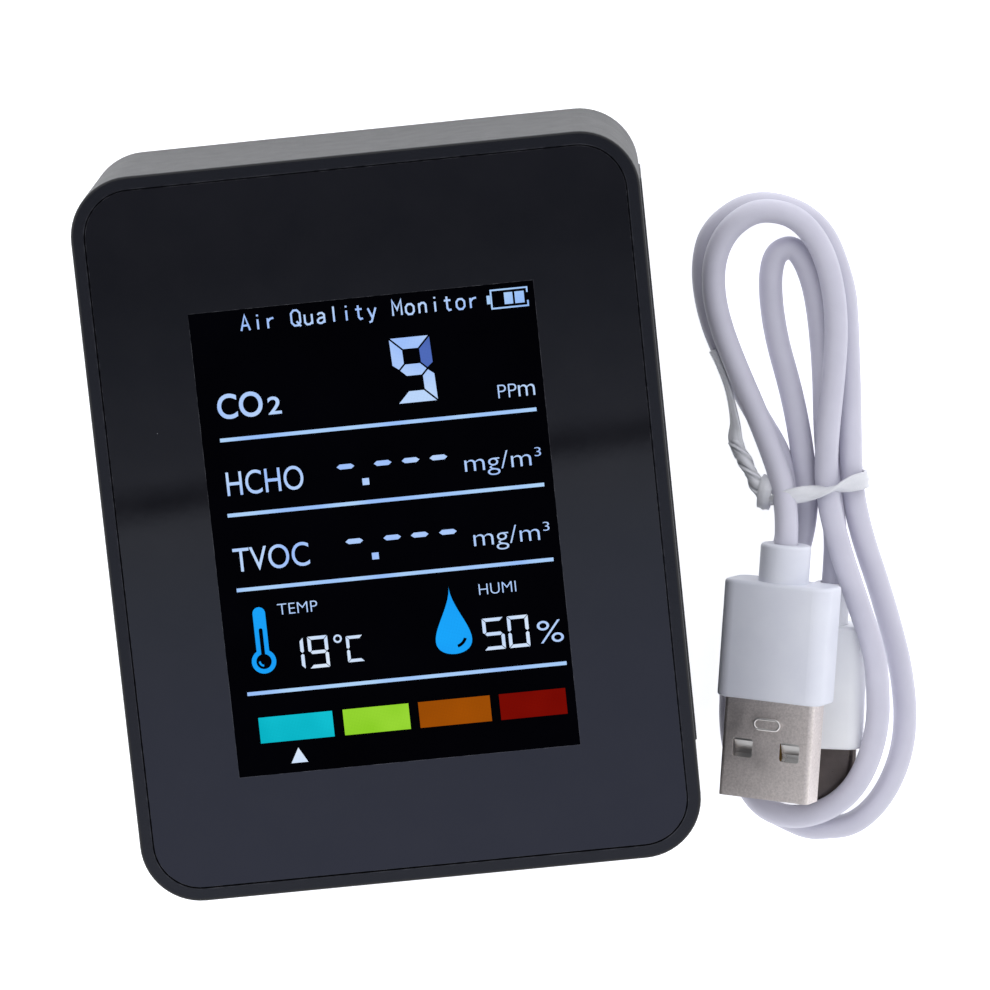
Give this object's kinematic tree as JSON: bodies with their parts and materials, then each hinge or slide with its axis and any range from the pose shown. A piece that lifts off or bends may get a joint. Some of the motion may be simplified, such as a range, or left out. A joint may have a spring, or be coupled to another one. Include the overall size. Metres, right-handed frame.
{
  "type": "carbon dioxide monitor",
  "caption": "Black rounded slab air quality monitor with a glossy front, colour display, side grille, side button and USB port, with its white tied USB lead beside it.",
  "frame": {"origin": "middle of the rear face, on which the monitor lies", "axes": "+Z out of the screen, +Y towards the top end of the screen, +X to the right of the screen"},
  "size_m": [0.099, 0.0971, 0.03],
  "materials": {
    "case_plastic": "fine satin moulded black plastic",
    "panel_gloss": "high gloss black printed acrylic",
    "screen": "bonded display window, near black between the lit figures",
    "button_plastic": "satin moulded black plastic",
    "screw_steel": "blackened steel",
    "board_green": "solder mask over glass fibre",
    "chip_black": "moulded epoxy",
    "connector_white": "nylon",
    "battery_wrap": "silver laminate pouch",
    "foam": "closed-cell foam and tape",
    "wire_red": "insulated wire",
    "wire_black": "insulated wire",
    "sensor_gold": "gold-flashed sensor chamber",
    "sensor_steel": "nickel-plated can",
    "mesh_black": "woven dust mesh",
    "ribbon": "polyimide ribbon",
    "backlight_white": "light guide with reflector",
    "lcd_steel": "pressed steel tray",
    "plug_white": "soft white overmoulded plastic",
    "cord_white": "white soft PVC sheath",
    "plug_steel": "nickel-plated pressed steel",
    "contact_gold": "gold-flashed contacts",
    "tie_white": "white plastic-covered tie wire"
  },
  "bodies": {
    "monitor": {"front_housing": "case_plastic", "front_panel": "panel_gloss", "screen_window": "screen", "panel_tape": "foam", "lcd_frame": "lcd_steel", "backlight": "backlight_white", "lcd_glass": "screen", "display_flex": "ribbon", "display_connector": "connector_white", "main_board": "board_green", "main_chip": "chip_black", "board_parts": "chip_black", "board_screws": "screw_steel", "usb_socket": "plug_steel", "usb_socket_core": "chip_black", "power_switch": "chip_black", "vent_panel": "case_plastic", "dust_mesh": "mesh_black", "sensor_board": "board_green", "board_header": "chip_black", "co2_sensor": "sensor_gold", "tvoc_sensor": "sensor_steel", "hcho_sensor": "sensor_steel", "temp_humidity_sensor": "connector_white", "battery_pad": "foam", "battery": "battery_wrap", "battery_header": "connector_white", "battery_plug": "connector_white", "battery_lead_red": "wire_red", "battery_lead_black": "wire_black", "rear_cover": "case_plastic", "rear_screws": "screw_steel"},
    "button": {"power_button": "button_plastic", "switch_plunger": "connector_white"},
    "usb_lead": {"usb_a_housing": "plug_white", "usb_a_relief": "plug_white", "usb_a_shell": "plug_steel", "usb_a_insulator": "plug_white", "usb_a_contacts": "contact_gold", "cord_hank": "cord_white", "twist_tie": "tie_white", "usb_c_housing": "plug_white", "usb_c_relief": "plug_white", "usb_c_shell": "plug_steel", "usb_c_core": "chip_black"}
  },
  "joints": [
    {"name": "button_press", "type": "slide", "parent": "monitor", "child": "button", "axis": [1, 0, 0], "range_m": [0, 0.0006], "stiffness_N_per_m": 2500, "springref_m": -0.0002},
    {"name": "lead_slide", "type": "slide", "parent": "monitor", "child": "usb_lead", "axis": [1, 0, 0], "range_m": [0, 0.06]}
  ]
}
